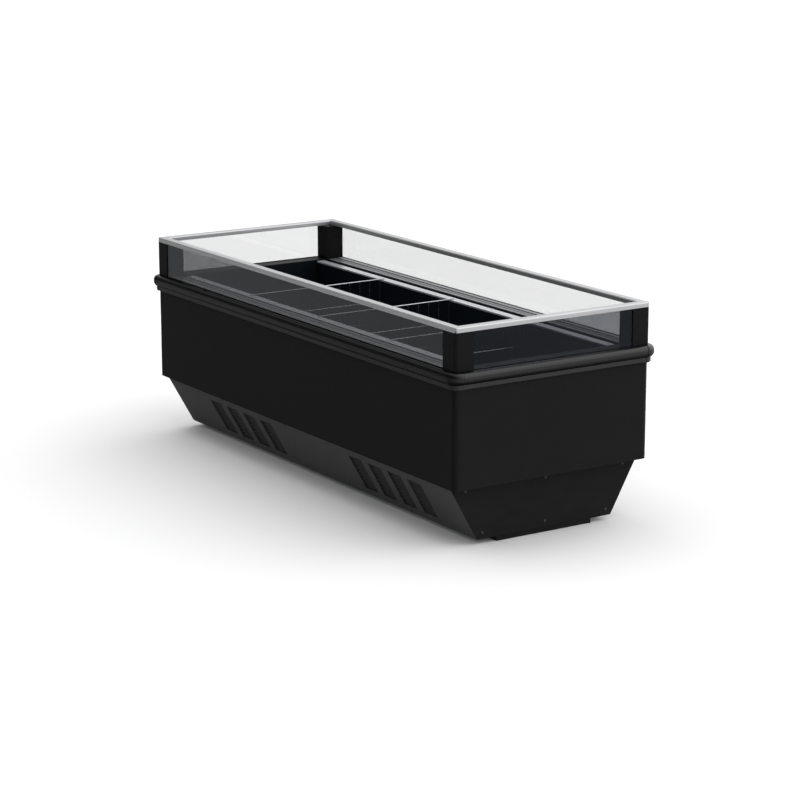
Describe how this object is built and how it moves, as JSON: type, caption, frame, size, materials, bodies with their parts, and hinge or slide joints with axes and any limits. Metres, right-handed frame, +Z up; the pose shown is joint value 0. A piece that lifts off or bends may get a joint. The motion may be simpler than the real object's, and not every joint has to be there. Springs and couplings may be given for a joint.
{
  "type": "chest freezer",
  "caption": "Open-top island chest freezer with a low glass surround, aluminium top rail, black bumper and a tapered base with louvred air slots.",
  "frame": {"origin": "middle of the footprint at floor level", "axes": "+X along the length, -Y is one long side, +Z up"},
  "size_m": [2.5584, 1.0384, 0.925],
  "materials": {
    "cabinet_black": "satin powder coat, faint orange peel",
    "base_black": "fine-textured matt powder coat",
    "rim_black": "satin extruded profile",
    "bumper_black": "satin, lightly scuffed",
    "post_black": "satin",
    "rail_aluminium": "satin anodised",
    "clear_glass": "clear, toughened",
    "gasket_rubber": "matt",
    "ledge_grey": "satin",
    "trim_steel": "brushed",
    "liner_dark": "smooth semi-gloss coat",
    "louvre_black": "moulded, matt",
    "screw_black": "black passivated",
    "zinc_sheet": "galvanised",
    "fin_aluminium": "mill finish",
    "foam": "closed-cell foam",
    "fan_plastic": "moulded",
    "motor_dark": "painted",
    "divider_wire": "plated wire",
    "compressor_black": "gloss enamel",
    "copper_pipe": "drawn copper tube",
    "gland_black": "moulded",
    "control_black": "moulded, fine texture",
    "button_grey": "moulded",
    "switch_green": "moulded"
  },
  "bodies": {
    "cabinet": {"plinth_pan": "base_black", "chassis_pan": "zinc_sheet", "front_base_panel": "base_black", "rear_base_panel": "base_black", "left_base_end": "base_black", "right_base_end": "base_black", "louvre_inserts": "louvre_black", "machine_frame": "zinc_sheet", "panel_screws": "screw_black", "front_body_panel": "cabinet_black", "rear_body_panel": "cabinet_black", "left_end_panel": "cabinet_black", "right_end_panel": "cabinet_black", "corner_columns": "cabinet_black", "foam_insulation": "foam", "inner_tub": "liner_dark", "top_rims": "rim_black", "front_bumper": "bumper_black", "rear_bumper": "bumper_black", "left_bumper": "bumper_black", "right_bumper": "bumper_black", "bumper_corners": "bumper_black", "glass_posts": "post_black", "front_glass": "clear_glass", "rear_glass": "clear_glass", "left_glass": "clear_glass", "right_glass": "clear_glass", "front_top_rail": "rail_aluminium", "rear_top_rail": "rail_aluminium", "left_top_rail": "rail_aluminium", "right_top_rail": "rail_aluminium", "glass_gaskets": "gasket_rubber", "ledge_trims": "ledge_grey", "front_duct_panel": "liner_dark", "rear_duct_panel": "liner_dark", "duct_top_trims": "trim_steel", "return_air_grille": "louvre_black", "discharge_honeycomb": "louvre_black", "deck_trays": "liner_dark", "evaporator_coil": "fin_aluminium", "fan_plenum": "zinc_sheet", "fan_motors": "motor_dark", "compressors": "compressor_black", "condensers": "fin_aluminium", "condenser_shrouds": "zinc_sheet", "refrigerant_pipes": "copper_pipe", "condensate_tray": "zinc_sheet", "cable_gland": "gland_black", "controller": "control_black"},
    "divider_left": {"divider_left": "divider_wire"},
    "divider_centre": {"divider_centre": "divider_wire"},
    "divider_right": {"divider_right": "divider_wire"},
    "evaporator_fan_left": {"evaporator_fan_left": "fan_plastic"},
    "evaporator_fan_right": {"evaporator_fan_right": "fan_plastic"},
    "condenser_fan_left": {"condenser_fan_left": "fan_plastic"},
    "condenser_fan_right": {"condenser_fan_right": "fan_plastic"},
    "set_button": {"set_button": "button_grey"},
    "up_button": {"up_button": "button_grey"},
    "down_button": {"down_button": "button_grey"},
    "mains_switch": {"mains_switch": "switch_green"}
  },
  "joints": [
    {"name": "divider_left_slide", "type": "slide", "parent": "cabinet", "child": "divider_left", "axis": [1, 0, 0], "range_m": [-0.5, 0.25]},
    {"name": "divider_centre_slide", "type": "slide", "parent": "cabinet", "child": "divider_centre", "axis": [1, 0, 0], "range_m": [-0.25, 0.25]},
    {"name": "divider_right_slide", "type": "slide", "parent": "cabinet", "child": "divider_right", "axis": [1, 0, 0], "range_m": [-0.25, 0.5]},
    {"name": "evaporator_fan_left_spin", "type": "hinge", "parent": "cabinet", "child": "evaporator_fan_left", "pos_m": [0.7, 0, 0.405], "axis": [0, 0, 1], "continuous": true},
    {"name": "evaporator_fan_right_spin", "type": "hinge", "parent": "cabinet", "child": "evaporator_fan_right", "pos_m": [1, 0, 0.405], "axis": [0, 0, 1], "continuous": true},
    {"name": "condenser_fan_left_spin", "type": "hinge", "parent": "cabinet", "child": "condenser_fan_left", "pos_m": [-0.55, -0.248, 0.132], "axis": [0, -1, 0], "continuous": true},
    {"name": "condenser_fan_right_spin", "type": "hinge", "parent": "cabinet", "child": "condenser_fan_right", "pos_m": [0.665, -0.248, 0.132], "axis": [0, -1, 0], "continuous": true},
    {"name": "set_button_press", "type": "slide", "parent": "cabinet", "child": "set_button", "axis": [1, 0, 0], "range_m": [0, 0.001], "stiffness_N_per_m": 300},
    {"name": "up_button_press", "type": "slide", "parent": "cabinet", "child": "up_button", "axis": [1, 0, 0], "range_m": [0, 0.001], "stiffness_N_per_m": 300},
    {"name": "down_button_press", "type": "slide", "parent": "cabinet", "child": "down_button", "axis": [1, 0, 0], "range_m": [0, 0.001], "stiffness_N_per_m": 300},
    {"name": "mains_switch_rock", "type": "hinge", "parent": "cabinet", "child": "mains_switch", "pos_m": [-1.2045, 0.21, 0.145], "axis": [0, 1, 0], "range_deg": [0, 16]}
  ]
}
